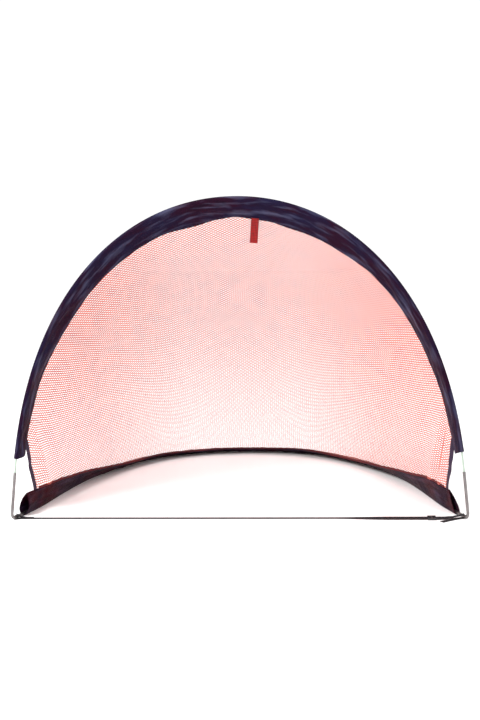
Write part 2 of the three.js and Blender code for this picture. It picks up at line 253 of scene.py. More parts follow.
def loftRibbon(name, points, wides, width, thickness, material, plyPoints=8):
    # flat tape along points; wides say which way its width lies
    steps = np.gradient(points, axis=0)
    ahead = unit(steps)
    wides = unit(wides - (wides * ahead).sum(axis=1)[:, None] * ahead)
    up = np.cross(ahead, wides)
    section = ribbonSection(width, thickness, plyPoints)
    rings = (points[:, None] + section[None, :, :1] * wides[:, None]
             + section[None, :, 1:] * up[:, None])
    obj = loft(name, rings, material, capEnds=True)
    faceOutwards(obj)
    return obj


def smoothLine(stops, step):
    # an even, rounded line through a few given stops
    stops = np.asarray(stops, float)
    ends = np.vstack([2 * stops[0] - stops[1], stops, 2 * stops[-1] - stops[-2]])
    line = []
    for a, b, c, d in zip(ends, ends[1:], ends[2:], ends[3:]):
        gap = np.linalg.norm(c[:3] - b[:3])
        count = max(2, int(math.ceil(gap / step)))
        for t in np.arange(count) / count:
            line.append(0.5 * (2 * b + (c - a) * t + (2 * a - 5 * b + 4 * c - d) * t * t
                               + (3 * b - a - 3 * c + d) * t ** 3))
    line.append(stops[-1])
    return np.array(line)


def newMaterial(name):
    material = bpy.data.materials.new(name)
    material.use_nodes = True
    return material, material.node_tree.nodes["Principled BSDF"]


def addNode(material, kind, settings=None, **inputs):
    made = material.node_tree.nodes.new(kind)
    for key, value in (settings or {}).items():
        setattr(made, key, value)
    for key, value in inputs.items():
        plug(material, value, made.inputs[key.replace("_", " ")])
    return made


def plug(material, value, socket):
    if isinstance(value, bpy.types.NodeSocket):
        material.node_tree.links.new(value, socket)
    else:
        socket.default_value = value


def calc(material, operation, a, b=None, c=None):
    made = material.node_tree.nodes.new("ShaderNodeMath")
    made.operation = operation
    for socket, value in zip(made.inputs, (a, b, c)):
        if value is not None:
            plug(material, value, socket)
    return made.outputs[0]


def noiseFac(material, where, scale, detail=4.0, roughness=0.55):
    made = addNode(material, "ShaderNodeTexNoise", Vector=where, Scale=scale, Detail=detail,
                   Roughness=roughness)
    return made.outputs["Fac"]


def ramp(material, fac, stops):
    made = material.node_tree.nodes.new("ShaderNodeValToRGB")
    plug(material, fac, made.inputs[0])
    elements = made.color_ramp.elements
    while len(elements) < len(stops):
        elements.new(0.5)
    for element, (place, color) in zip(elements, stops):
        element.position = place
        element.color = (*color, 1)
    return made.outputs[0]


def stretched(material, where, scale):
    made = addNode(material, "ShaderNodeMapping", Vector=where, Scale=scale)
    return made.outputs[0]


def objectPlace(material):
    return material.node_tree.nodes.new("ShaderNodeTexCoord").outputs["Object"]


def clothPlace(material):
    return material.node_tree.nodes.new("ShaderNodeTexCoord").outputs["UV"]


def bumpFrom(material, height, strength, distance, below=None):
    made = addNode(material, "ShaderNodeBump", Height=height, Strength=strength, Distance=distance)
    if below is not None:
        plug(material, below, made.inputs["Normal"])
    return made.outputs[0]


def weaveHeight(material, where, threads):
    # plain weave: crests of warp and weft, threads to the metre
    split = addNode(material, "ShaderNodeSeparateXYZ", Vector=where)
    across = calc(material, "MULTIPLY", split.outputs[0], threads * math.pi)
    along = calc(material, "MULTIPLY", split.outputs[1], threads * math.pi)
    product = calc(material, "MULTIPLY", calc(material, "SINE", across),
                   calc(material, "SINE", along))
    return calc(material, "ABSOLUTE", product)


steelLook = {"light": (0.27, 0.255, 0.255), "dark": (0.10, 0.085, 0.085), "roughLow": 0.28,
             "roughHigh": 0.5}


def steelTubing():
    material, shader = newMaterial("dull plated steel")
    where = objectPlace(material)
    drawn = noiseFac(material, stretched(material, where, (900, 900, 22)), 1.0, 5)
    stains = noiseFac(material, where, 55, 3)
    tone = calc(material, "MULTIPLY_ADD", drawn, 0.45, calc(material, "MULTIPLY", stains, 0.55))
    plug(material, ramp(material, tone, [(0.3, steelLook["dark"]), (0.62, steelLook["light"])]),
         shader.inputs["Base Color"])
    rough = addNode(material, "ShaderNodeMapRange", Value=stains, To_Min=steelLook["roughLow"],
                    To_Max=steelLook["roughHigh"])
    plug(material, rough.outputs[0], shader.inputs["Roughness"])
    shader.inputs["Metallic"].default_value = 1.0
    plug(material, bumpFrom(material, drawn, 0.25, 0.0002), shader.inputs["Normal"])
    return material


fibreLook = {"pale": (0.38, 0.47, 0.39), "shade": (0.26, 0.33, 0.27)}


def glassFibre():
    material, shader = newMaterial("pale glass fibre")
    where = objectPlace(material)
    strands = noiseFac(material, stretched(material, where, (1500, 1500, 14)), 1.0, 4)
    cloud = noiseFac(material, where, 30, 3)
    tone = calc(material, "MULTIPLY_ADD", strands, 0.6, calc(material, "MULTIPLY", cloud, 0.4))
    plug(material, ramp(material, tone, [(0.34, fibreLook["shade"]), (0.6, fibreLook["pale"])]),
         shader.inputs["Base Color"])
    rough = addNode(material, "ShaderNodeMapRange", Value=strands, To_Min=0.3, To_Max=0.5)
    plug(material, rough.outputs[0], shader.inputs["Roughness"])
    shader.inputs["Coat Weight"].default_value = 0.25
    plug(material, bumpFrom(material, strands, 0.2, 0.0001), shader.inputs["Normal"])
    return material


ferruleLook = {"light": (0.6, 0.59, 0.56), "dark": (0.36, 0.35, 0.33)}


def ferruleMetal():
    material, shader = newMaterial("satin ferrule")
    where = objectPlace(material)
    scratches = noiseFac(material, stretched(material, where, (60, 1400, 1400)), 1.0, 4)
    plug(material, ramp(material, scratches, [(0.35, ferruleLook["dark"]),
                                              (0.7, ferruleLook["light"])]),
         shader.inputs["Base Color"])
    rough = addNode(material, "ShaderNodeMapRange", Value=scratches, To_Min=0.3, To_Max=0.48)
    plug(material, rough.outputs[0], shader.inputs["Roughness"])
    shader.inputs["Metallic"].default_value = 1.0
    plug(material, bumpFrom(material, scratches, 0.2, 0.0001), shader.inputs["Normal"])
    return material


clothLook = {
    "threads": 1500,
    "sheen": 0.005,
    "specular": 0.03,
    "roughLow": 0.34,
    "roughHigh": 0.52,
    "glossTurn": 0.32,        # radians that the painted highlight streaks slant
    "weaveShade": 0.35,
}
# painted highlight: added as colour, in slanting streaks that stand for the light on the creases
archDyesAndHighlight = {"deep": (0.005, 0.002, 0.008), "plum": (0.011, 0.005, 0.019),
            "blue": (0.011, 0.009, 0.031), "maroon": (0.017, 0.003, 0.012),
            "gloss": (0.042, 0.046, 0.074)}
baseDyesAndHighlight = {"deep": (0.008, 0.001, 0.004), "plum": (0.016, 0.003, 0.010),
            "blue": (0.014, 0.007, 0.022), "maroon": (0.034, 0.002, 0.006),
            "gloss": (0.028, 0.020, 0.034)}


def navyCloth(name, dyesAndHighlight):
    material, shader = newMaterial(name)
    place, where = clothPlace(material), objectPlace(material)
    cloud = noiseFac(material, where, 9, 3)
    streak = noiseFac(material, stretched(material, place, (14, 60, 1)), 1.0, 4)
    tone = calc(material, "MULTIPLY_ADD", cloud, 0.6, calc(material, "MULTIPLY", streak, 0.4))
    clothColour = ramp(material, tone, [(0.30, dyesAndHighlight["deep"]), (0.42, dyesAndHighlight["maroon"]),
                                (0.52, dyesAndHighlight["plum"]), (0.68, dyesAndHighlight["blue"])])
    # painted highlight: slanting streaks of light colour added on top of the dye, for the light on the
    # creases
    slant = addNode(material, "ShaderNodeMapping", Vector=place, Scale=(9, 62, 1),
                    Rotation=(0, 0, clothLook["glossTurn"]))
    gloss = ramp(material, noiseFac(material, slant.outputs[0], 1.0, 3, 0.5),
                 [(0.50, (0, 0, 0)), (0.70, dyesAndHighlight["gloss"])])
    lit = addNode(material, "ShaderNodeMix", {"data_type": "RGBA", "blend_type": "ADD"})
    lit.inputs["Factor"].default_value = 1.0
    plug(material, clothColour, lit.inputs[6])
    plug(material, gloss, lit.inputs[7])
    clothColour = lit.outputs[2]
    weave = weaveHeight(material, place, clothLook["threads"])
    shade = addNode(material, "ShaderNodeMix", {"data_type": "RGBA", "blend_type": "MULTIPLY"})
    shade.inputs["Factor"].default_value = clothLook["weaveShade"]
    plug(material, clothColour, shade.inputs[6])
    plug(material, ramp(material, weave, [(0.0, (0.55, 0.55, 0.6)), (0.7, (1, 1, 1))]),
         shade.inputs[7])
    plug(material, shade.outputs[2], shader.inputs["Base Color"])
    rough = addNode(material, "ShaderNodeMapRange", Value=streak, To_Min=clothLook["roughLow"],
                    To_Max=clothLook["roughHigh"])
    plug(material, rough.outputs[0], shader.inputs["Roughness"])
    shader.inputs["Specular IOR Level"].default_value = clothLook["specular"]
    shader.inputs["Sheen Weight"].default_value = clothLook["sheen"]
    shader.inputs["Sheen Roughness"].default_value = 0.4
    shader.inputs["Sheen Tint"].default_value = (0.62, 0.64, 0.95, 1)
    creases = noiseFac(material, stretched(material, place, (60, 160, 1)), 1.0, 5, 0.6)
    fine = bumpFrom(material, weave, 0.3, 0.0002)
    plug(material, bumpFrom(material, creases, 0.45, 0.0012, fine), shader.inputs["Normal"])
    return material


netLook = {
    "pitch": 6.7 * mm,       # from strand to strand, square to them
    "strand": 1.85 * mm,
    "knot": 0.10,            # how far the crossings fill out, in pitches
    "strandAngle": 33.0,     # degrees from level
    "sideFill": 1.42,        # strands are this much thicker towards the sides
    "sideFrom": 0.16,        # metres from the middle where they start to thicken
    "sideTo": 0.46,
    "red": (0.62, 0.105, 0.060),
    "deepRed": (0.48, 0.058, 0.036),
}


def netYarn():
    material, shader = newMaterial("red net")
    place = clothPlace(material)
    split = addNode(material, "ShaderNodeSeparateXYZ", Vector=place)
    angle = math.radians(netLook["strandAngle"])
    flat = calc(material, "MULTIPLY", split.outputs[0], math.sin(angle) / netLook["pitch"])
    tall = calc(material, "MULTIPLY", split.outputs[1], math.cos(angle) / netLook["pitch"])
    rising = calc(material, "PINGPONG", calc(material, "SUBTRACT", tall, flat), 0.5)
    falling = calc(material, "PINGPONG", calc(material, "ADD", tall, flat), 0.5)
    nearest = calc(material, "SMOOTH_MIN", rising, falling, netLook["knot"])
    half = netLook["strand"] / netLook["pitch"] / 2
    aside = calc(material, "ABSOLUTE", split.outputs[0])
    thick = addNode(material, "ShaderNodeMapRange", Value=aside, From_Min=netLook["sideFrom"],
                    From_Max=netLook["sideTo"], To_Min=half,
                    To_Max=half * netLook["sideFill"])
    cord = calc(material, "LESS_THAN", nearest, thick.outputs[0])
    plug(material, cord, shader.inputs["Alpha"])
    cloud = noiseFac(material, place, 26, 3)
    plug(material, ramp(material, cloud, [(0.35, netLook["deepRed"]), (0.6, netLook["red"])]),
         shader.inputs["Base Color"])
    twist = noiseFac(material, stretched(material, place, (1600, 1600, 1)), 1.0, 3)
    rough = addNode(material, "ShaderNodeMapRange", Value=twist, To_Min=0.55, To_Max=0.8)
    plug(material, rough.outputs[0], shader.inputs["Roughness"])
    rounded = calc(material, "MULTIPLY", nearest, -1.0)
    yarn = bumpFrom(material, twist, 0.3, 0.0002)
    plug(material, bumpFrom(material, rounded, 0.6, 0.004, yarn), shader.inputs["Normal"])
    shader.inputs["Sheen Weight"].default_value = 0.15
    return material


def tapeWeave(name, light, dark, threads, slant, sheen=0.03):
    # flat narrow tape: slanting ribs with a fine weave between them
    material, shader = newMaterial(name)
    place = clothPlace(material)
    split = addNode(material, "ShaderNodeSeparateXYZ", Vector=place)
    lean = calc(material, "MULTIPLY_ADD", split.outputs[0], slant, split.outputs[1])
    other = calc(material, "MULTIPLY_ADD", split.outputs[0], -slant, split.outputs[1])
    ribs = calc(material, "SINE", calc(material, "MULTIPLY", lean, threads))
    crossing = calc(material, "SINE", calc(material, "MULTIPLY", other, threads))
    height = calc(material, "MULTIPLY_ADD", ribs, crossing, 1.0)
    wear = noiseFac(material, stretched(material, place, (70, 120, 1)), 1.0, 4)
    # painted shade: the weave's height also darkens the colour in the hollows between the ribs; the wear
    # noise adds tone that differs at random
    tone = calc(material, "MULTIPLY_ADD", height, 0.3, calc(material, "MULTIPLY", wear, 0.5))
    plug(material, ramp(material, tone, [(0.34, dark), (0.62, light)]), shader.inputs["Base Color"])
    rough = addNode(material, "ShaderNodeMapRange", Value=wear, To_Min=0.6, To_Max=0.85)
    plug(material, rough.outputs[0], shader.inputs["Roughness"])
    shader.inputs["Specular IOR Level"].default_value = 0.2
    shader.inputs["Sheen Weight"].default_value = sheen
    plug(material, bumpFrom(material, height, 0.6, 0.0003), shader.inputs["Normal"])
    return material


plasticLook = {"black": (0.012, 0.012, 0.014), "scuffed": (0.04, 0.04, 0.045)}


def mouldedPlastic():
    material, shader = newMaterial("black moulded plastic")
    where = objectPlace(material)
    grain = noiseFac(material, where, 1800, 3)
    scuffs = noiseFac(material, where, 140, 4)
    plug(material, ramp(material, scuffs, [(0.35, plasticLook["black"]),
                                           (0.75, plasticLook["scuffed"])]),
         shader.inputs["Base Color"])
    rough = addNode(material, "ShaderNodeMapRange", Value=scuffs, To_Min=0.35, To_Max=0.55)
    plug(material, rough.outputs[0], shader.inputs["Roughness"])
    plug(material, bumpFrom(material, grain, 0.25, 0.0001), shader.inputs["Normal"])
    return material


def seamThread(name, color):
    material, shader = newMaterial(name)
    where = objectPlace(material)
    twist = noiseFac(material, where, 2600, 3)
    paler = tuple(min(1.0, c * 1.8 + 0.01) for c in color)
    plug(material, ramp(material, twist, [(0.35, color), (0.65, paler)]), shader.inputs["Base Color"])
    rough = addNode(material, "ShaderNodeMapRange", Value=twist, To_Min=0.5, To_Max=0.7)
    plug(material, rough.outputs[0], shader.inputs["Roughness"])
    plug(material, bumpFrom(material, twist, 0.4, 0.0001), shader.inputs["Normal"])
    return material


def paleFloor():
    material, shader = newMaterial("pale floor")
    cloud = noiseFac(material, objectPlace(material), 0.8, 2)
    plug(material, ramp(material, cloud, [(0.3, (0.95, 0.95, 0.95)), (0.7, (0.97, 0.97, 0.97))]),
         shader.inputs["Base Color"])
    shader.inputs["Roughness"].default_value = 0.8
    return material


finish = {
    "steel": steelTubing(),
    "fibre": glassFibre(),
    "ferrule": ferruleMetal(),
    "archCloth": navyCloth("navy arch cloth", archDyesAndHighlight),
    "baseCloth": navyCloth("navy base cloth", baseDyesAndHighlight),
    "net": netYarn(),
    "hem": tapeWeave("red net hem", (0.12, 0.006, 0.010), (0.04, 0.002, 0.004), 2400, 0.8),
    "tab": tapeWeave("dark red tab weave", (0.27, 0.007, 0.007), (0.015, 0.001, 0.001), 850, 0.9),
    "webbing": tapeWeave("black webbing", (0.012, 0.008, 0.012), (0.004, 0.003, 0.005), 3600, 0.7),
    "binding": tapeWeave("navy binding tape", (0.042, 0.024, 0.052), (0.016, 0.009, 0.022), 5200, 0.2),
    "plastic": mouldedPlastic(),
    "navyThread": seamThread("navy thread", (0.030, 0.022, 0.045)),
}
print("finishes ready:", len(finish))


leftCorner = np.array((-goal["footX"], goal["mouthY"], goal["hoopLevel"]))
lean, toeIn = math.radians(goal["uprightLean"]), math.radians(goal["legToeIn"])
uprightAim = np.array((math.sin(lean), 0, math.cos(lean)))
legAim = np.array((math.sin(toeIn), math.cos(toeIn), 0))
uprightEnd = leftCorner + uprightAim * goal["uprightLength"]
legEnd = leftCorner + legAim * goal["legLength"]
archMiddle = np.array((0, goal["mouthY"], goal["archTop"]))
backMiddle = np.array((0, goal["mouthY"] + goal["depth"] - goal["backInset"], goal["hoopLevel"]))


def hoopPoints(start, aim, middle, sideReach, middleReach):
    inner = np.array((-middleReach, middle[1], middle[2]))
    half = bezier(start, start + aim * sideReach, inner, middle)
    return np.vstack([half, mirrored(half)[1:]])


archPoints = hoopPoints(uprightEnd, uprightAim, archMiddle, goal["sideReach"][0] * goal["archTop"],
                        goal["middleReach"][0] * goal["footX"])
backPoints = hoopPoints(legEnd, legAim, backMiddle, goal["sideReach"][1] * goal["depth"],
                        goal["middleReach"][1] * goal["footX"])
archHoop = makePath(archPoints)
legLine = np.linspace(leftCorner, legEnd, 30)
baseHoop = makePath(np.vstack([legLine, backPoints[1:], mirrored(legLine)[1:]]))
print("arch rod %.3f m, ground hoop %.3f m" % (archHoop["length"], baseHoop["length"]))

# both sleeves: strips of cloth folded round the rod and sewn at the net's edge
sleeve = {
    "width": 56 * mm,
    "tunnel": 5.9 * mm,        # outside radius round the rod
    "edge": 0.85 * mm,         # half of the two plies' thickness at the seam
    "cloth": 0.45 * mm,
    "step": 4.2 * mm,
    "plyPoints": 15,
    "roundPoints": 11,
    "puff": 0.9 * mm,
    "hemLength": 10 * mm,
    "hemRise": 0.35 * mm,
    "mouthReach": 45 * mm,     # how far in from a cut end it gapes
    "pressIn": 0.4,            # share of its room that a crease may press a ply in
}
archCloth = {
    "hoop": archHoop,
    "start": 38 * mm,          # the net's edge is set out from here
    "ends": (38 * mm, 53 * mm),    # where the cloth starts above the left and right tubes
    "slants": (2 * mm, -16 * mm),   # how much later it starts at the seam
    "slantReach": 90 * mm,
    "turnAtSides": 78, "turnAtTop": 27,
    "twist": 5.0,                  # degrees that the band wanders
    "scallop": 2.2 * mm,       # how far the seam wanders in and out
    "sway": 2.4 * mm,
    "wrinkle": 5.5 * mm,
    "gapes": (2.2 * mm, 2.2 * mm),
    "seed": 3.7,
    # where the net tugs the seam in or lets it out: place along the arch, depth, half width
    "tugs": [(0.500, -5.0 * mm, 0.016), (0.440, 8 * mm, 0.030), (0.575, 6.5 * mm, 0.030),
             (0.36, 2.5 * mm, 0.025), (0.66, 3.0 * mm, 0.022), (0.71, -2.5 * mm, 0.015),
             (0.80, 2.0 * mm, 0.03)],
}
baseCloth = {
    "hoop": baseHoop,
    "start": 52 * mm,
    "tipOver": (0.03, 0.31),   # the band tips from standing to lying between these places
    "ends": (56 * mm, 62 * mm),
    "slants": (6 * mm, 30 * mm),
    "slantReach": 90 * mm,
    "turnAtSides": 12, "turnAtTop": 72,
    "twist": 3.0,
    "scallop": 1.8 * mm,
    "sway": 2.0 * mm,
    "wrinkle": 4.5 * mm,
    "gapes": (9.0 * mm, 2.0 * mm),
    "seed": 11.2,
    "tugs": [(0.10, 2.0 * mm, 0.02), (0.90, 2.5 * mm, 0.02)],
}


def bandAim(cloth, u):
    # which way the flat band points from the rod, and the direction square to it
    ahead = headingAt(cloth["hoop"], u)
    if cloth is archCloth:
        middle = np.sin(math.pi * u) ** 2
    else:
        middle = smoothStep(np.minimum(u, 1 - u), *cloth["tipOver"])
    wander = np.array([ripple(s * 7.0, cloth["seed"]) for s in np.atleast_1d(u)]) * cloth["twist"]
    turn = np.radians(lerp(cloth["turnAtSides"], cloth["turnAtTop"], middle) + wander)[:, None]
    if cloth is archCloth:
        inward = unit(np.cross(yAxis, ahead))
        band = inward * np.cos(turn) + yAxis * np.sin(turn)
    else:
        inward = unit(np.cross(ahead, zAxis))
        band = inward * np.sin(turn) + zAxis * np.cos(turn)
    return band, unit(np.cross(ahead, band))


def seamReach(cloth, u):
    # distance from the rod to the seam: the cloth's edge is never quite even
    reach = np.full(len(u), sleeve["width"])
    for i, s in enumerate(u):
        reach[i] += cloth["scallop"] * ripple(s * 17.0, cloth["seed"] + 5)
        reach[i] += 0.35 * cloth["scallop"] * ripple(s * 46.0, cloth["seed"] + 9)
    for place, depth, half in cloth["tugs"]:
        reach += depth * np.exp(-((u - place) / half) ** 2)
    return reach


def seamSway(cloth, u):
    return np.array([cloth["sway"] * ripple(s * 13.0, cloth["seed"] + 20) for s in u])


def clothSpan(cloth):
    return cloth["start"] / cloth["hoop"]["length"]


def endGaps(cloth, u):
    # distance from either cut end of the sleeve
    first, last = cloth["ends"]
    length = cloth["hoop"]["length"]
    return np.maximum(u * length - first, 0), np.maximum((1 - u) * length - last, 0)


def slanted(cloth, u, share):
    # the cut ends aren't square: the cloth starts later, or earlier, towards the seam
    gaps = endGaps(cloth, u)
    left, right = (slant * share * np.exp(-gap / cloth["slantReach"])
                   for slant, gap in zip(cloth["slants"], gaps))
    return u + (left - right) / cloth["hoop"]["length"]


def sleeveOutline(reach, place):
    # out along one ply (0 to 1), round the rod (1 to 2) and back along the other ply (2 to 3)
    r, edge = sleeve["tunnel"], sleeve["edge"]
    lean = np.arcsin((r - edge) / reach)
    if 1 < place < 2:
        turn = lerp(math.pi / 2 - lean, 3 * math.pi / 2 + lean, place - 1)
        return r * np.cos(turn), r * np.sin(turn)
    ply = place if place <= 1 else 3 - place
    side = 1 if place <= 1 else -1
    return lerp(reach, r * np.sin(lean), ply), side * lerp(edge, r * np.cos(lean), ply)


def foldHeight(cloth, s, share, side):
    # long creases that cross the band at a slant, deepest half way to the seam
    seed = cloth["seed"] + side * 3.1
    slant = s / 0.050 + share * 1.5 * (1 if side > 0 else -1)
    long = ripple(slant, share * 0.8, seed)
    ridge = 1 - abs(ripple(s / 0.110 - share * 2.2, share * 1.2, seed + 7)) * 1.9
    small = ripple(s / 0.019 + share * 1.2, share * 2.1, seed + 13)
    patch = 0.55 + 0.45 * ripple(s / 0.24, 0.0, seed + 31)
    return (0.55 * long + 0.55 * max(ridge, 0) + 0.2 * small) * patch


def plySwell(cloth, stops, u, share, side, y):
    # how far a ply stands off its straight line: a little air, the open end, and the wrinkles
    mouth = sum(gape * np.exp(-(gap / sleeve["mouthReach"]) ** 2)
                for gape, gap in zip(cloth["gapes"], endGaps(cloth, stops)))
    swell = np.sin(math.pi * share ** 0.8)
    folds = np.array([foldHeight(cloth, s, b, side)
                      for s, b in zip(u * cloth["hoop"]["length"], share)])
    push = swell * (sleeve["puff"] + mouth + cloth["wrinkle"] * folds)
    return np.maximum(push, -sleeve["pressIn"] * np.abs(y))


def makeSleeve(name, cloth, body, node, floor=None):
    hoop = cloth["hoop"]
    first, last = cloth["ends"][0] / hoop["length"], 1 - cloth["ends"][1] / hoop["length"]
    count = int(round(hoop["length"] * (last - first) / sleeve["step"]))
    stops = np.linspace(first, last, count + 1)
    gaps = endGaps(cloth, stops)
    hem = sleeve["hemRise"] * (1 - smoothStep(np.minimum(*gaps), sleeve["hemLength"] * 0.9,
                                              sleeve["hemLength"]))
    ply = np.linspace(0, 1, sleeve["plyPoints"])
    rounded = np.linspace(1, 2, sleeve["roundPoints"] + 2)[1:-1]
    columns, alongs = [], []
    for place in np.concatenate([ply, rounded, 2 + ply]):
        flat = min(place, 3 - place) if not 1 < place < 2 else 1.0
        u = slanted(cloth, stops, 1 - flat)
        band, across = bandAim(cloth, u)
        reach = seamReach(cloth, u)
        x, y = sleeveOutline(reach, place)
        share = np.clip(x / reach, 0, 1)
        side = 1 if place < 1.5 else -1
        push = plySwell(cloth, stops, u, share, side, y) + hem
        away = y + side * push + seamSway(cloth, u) * share ** 1.5
        columns.append(pointAt(hoop, u) + band * x[:, None] + across * away[:, None])
        alongs.append(u * hoop["length"])
    rings = np.stack(columns, axis=1)
    if floor is not None:
        rings[:, :, 2] = np.maximum(rings[:, :, 2], floor)
    closed = np.concatenate([rings, rings[:, :1]], axis=1)
    around = np.concatenate([np.zeros((len(stops), 1)), np.cumsum(
        np.linalg.norm(np.diff(closed, axis=1), axis=2), axis=1)], axis=1)
    alongs = np.stack(alongs + alongs[:1], axis=1)
    look = finish["archCloth" if cloth is archCloth else "baseCloth"]
    obj = loft(name, rings, look, uvs=np.stack([alongs, around], axis=2))
    giveThickness(obj, sleeve["cloth"])
    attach(obj, body)
    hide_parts(node)
    return obj


archSleeve = makeSleeve("arch_sleeve_cloth", archCloth, "arch", "front_sleeve")
baseSleeve = makeSleeve("base_sleeve_cloth", baseCloth, "base", "base_sleeve", floor=0.1 * mm)
print("sleeves sewn:", len(archSleeve.data.vertices) + len(baseSleeve.data.vertices), "points")


net = {
    "columns": 260,
    "rows": 120,
    "sag": 26 * mm,
    "sagSlant": 0.7,
    "cornerInset": 62 * mm,
    "archInset": 45 * mm,
    "tuck": 3 * mm,              # how far the net's edge goes in between the plies
    "ruck": 3.0 * mm,            # slight unevenness all over
    # soft folds that run from seam to seam near the corners: share, depth, half width
    "folds": [(0.032, 8 * mm, 0.007), (0.060, -5 * mm, 0.014), (0.950, 9 * mm, 0.009),
              (0.978, 7 * mm, 0.006), (0.965, -7 * mm, 0.006), (0.91, -4 * mm, 0.02)],
}


def seamPoints(cloth, shares, start, inset):
    u = lerp(start, 1 - start, shares)
    band, across = bandAim(cloth, u)
    reach = seamReach(cloth, u) - inset
    sway = seamSway(cloth, u)
    return pointAt(cloth["hoop"], u) + band * reach[:, None] + across * sway[:, None]


def netEdges(shares, inset):
    baseStart = clothSpan(baseCloth) + net["cornerInset"] / baseHoop["length"]
    low = seamPoints(baseCloth, shares, baseStart, inset)
    archStart = clothSpan(archCloth) + net["archInset"] / archHoop["length"]
    high = seamPoints(archCloth, shares, archStart, inset)
    return low, high


def netSurface(shares, rises, inset):
    low, high = netEdges(shares, inset)
    r = rises[:, None, None]
    cloth = low[None] * (1 - r) + high[None] * r
    hang = 4 * rises * (1 - rises)
    slack = net["sag"] * np.outer(hang, np.maximum(np.sin(math.pi * shares), 0)) * net["sagSlant"]
    cloth[:, :, 1] -= slack
    cloth[:, :, 2] -= slack
    side = unit(np.cross(np.gradient(cloth, axis=1), np.gradient(cloth, axis=0)))
    fold = np.zeros(len(shares))
    for place, depth, half in net["folds"]:
        fold += depth * np.exp(-((shares - place) / half) ** 2)
    soft = np.array([[ripple(a * 9.0, b * 2.5, 4.4) for a in shares] for b in rises])
    depth = np.outer(np.sqrt(hang), fold) + net["ruck"] * soft * hang[:, None]
    return cloth + side * depth[:, :, None]


def followFold(obj, rises):
    # the points are laid out flat at their rises in the cloth, the transform is baked, and the hung
    # points are put back
    count = len(obj.data.vertices)
    hung = np.zeros(count * 3)
    obj.data.vertices.foreach_get("co", hung)
    laid = np.zeros((count, 3))
    laid[:, 1] = rises
    obj.data.vertices.foreach_set("co", laid.ravel())
    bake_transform(obj)
    obj.data.vertices.foreach_set("co", hung)
    obj.data.update()


def flatPattern(surface):
    # where each point of the net lies in the flat cloth, laid out on both sides of its middle row
    middle = surface.shape[0] // 2
    row = np.diff(surface[middle], axis=0)
    column = unit(surface[middle + 1] - surface[middle - 1])
    column = unit(column[1:] + column[:-1])
    upward = (row * column).sum(axis=1)
    sideways = np.sqrt(np.maximum((row ** 2).sum(axis=1) - upward ** 2, 0))
    out = np.concatenate([[0], np.cumsum(sideways)])
    start = np.concatenate([[0], np.cumsum(upward)])
    half = surface.shape[1] // 2
    rise = np.concatenate([np.zeros((1, surface.shape[1])), np.cumsum(
        np.linalg.norm(np.diff(surface, axis=0), axis=2), axis=0)])
    tall = (start - start[half])[None] + rise - rise[middle][None]
    return np.stack([np.repeat((out - out[half])[None], len(rise), axis=0), tall], axis=2)


netShares = np.linspace(0, 1, net["columns"] + 1)
netRises = np.linspace(0, 1, net["rows"] + 1)
netGrid = netSurface(netShares, netRises, net["tuck"])
netPattern = flatPattern(netGrid)
netFaces, netCorners = loftFaces(netGrid.shape[0], netGrid.shape[1], False, netPattern)
netCloth = addObject("net_cloth", netGrid.reshape(-1, 3), netFaces, finish["net"], netCorners)
followFold(netCloth, np.repeat(netRises, len(netShares)))
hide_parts("net")


binding = {"width": 12.5 * mm, "thickness": 1.3 * mm, "steps": 60, "pucker": 1.6 * mm,
           "tuck": 5 * mm, "foldWidth": 3.4 * mm, "foldThickness": 0.8 * mm,
           "foldInset": 1.2 * mm, "acrossStep": 0.006}


def makeEdgeTape(name, side, middle, width, thickness, material):
    # tape along the net's short edge, from seam to seam
    rises = np.linspace(0, 1, binding["steps"])
    shares = np.array([middle, middle + binding["acrossStep"]])
    if side > 0:
        shares = 1 - shares
    both = netSurface(np.concatenate([shares, shares + 1e-4]), rises, binding["tuck"])
    points = both[:, 0]
    wides = unit(both[:, 1] - both[:, 0])
    facing = unit(np.cross(wides, np.gradient(points, axis=0)))
    bend = np.array([binding["pucker"] * ripple(r * 5.0, side * 3.0) for r in rises])
    bend *= np.sin(math.pi * rises)
    points = points + facing * bend[:, None]
    obj = loftRibbon(name, points, wides, width, thickness, material)
    followFold(obj, np.repeat(rises, len(obj.data.vertices) // len(rises)))
    return obj


def makeBinding(label, side):
    # navy tape folded over the edge, and the red fold of net that shows beside it
    out = binding["width"] / 2 / archHoop["length"]
    tape = makeEdgeTape("net_binding_tape_" + label, side, -out, binding["width"],
                        binding["thickness"], finish["binding"])
    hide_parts("net_binding_" + label)
    makeEdgeTape("net_edge_fold_" + label, side,
                 binding["foldInset"] / archHoop["length"], binding["foldWidth"],
                 binding["foldThickness"], finish["hem"])


makeBinding("left", -1)
makeBinding("right", 1)

hem = {"width": 7 * mm, "thickness": 0.9 * mm, "lift": 2.0 * mm, "forward": 0.1 * mm, "endGap": 0.004}


def makeHem():
    # the net's doubled edge, seen as a red line above the base seam
    shares = np.linspace(hem["endGap"], 1 - hem["endGap"], 420)
    low, high = netEdges(shares, -hem["lift"])
    wides = unit(high - low)
    bow = unit(np.cross(np.gradient(low, axis=0), wides))
    obj = loftRibbon("net_hem", low + bow * hem["forward"], wides, hem["width"], hem["thickness"],
                     finish["hem"], plyPoints=4)
    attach(obj, "base")
    return obj


makeHem()
print("bindings and hem sewn")


stitch = {"pitch": 3.4 * mm, "length": 2.5 * mm, "radius": 0.22 * mm, "inset": 5.0 * mm,
          "endGap": 0.0012, "offCloth": 0.12 * mm, "sides": 5}


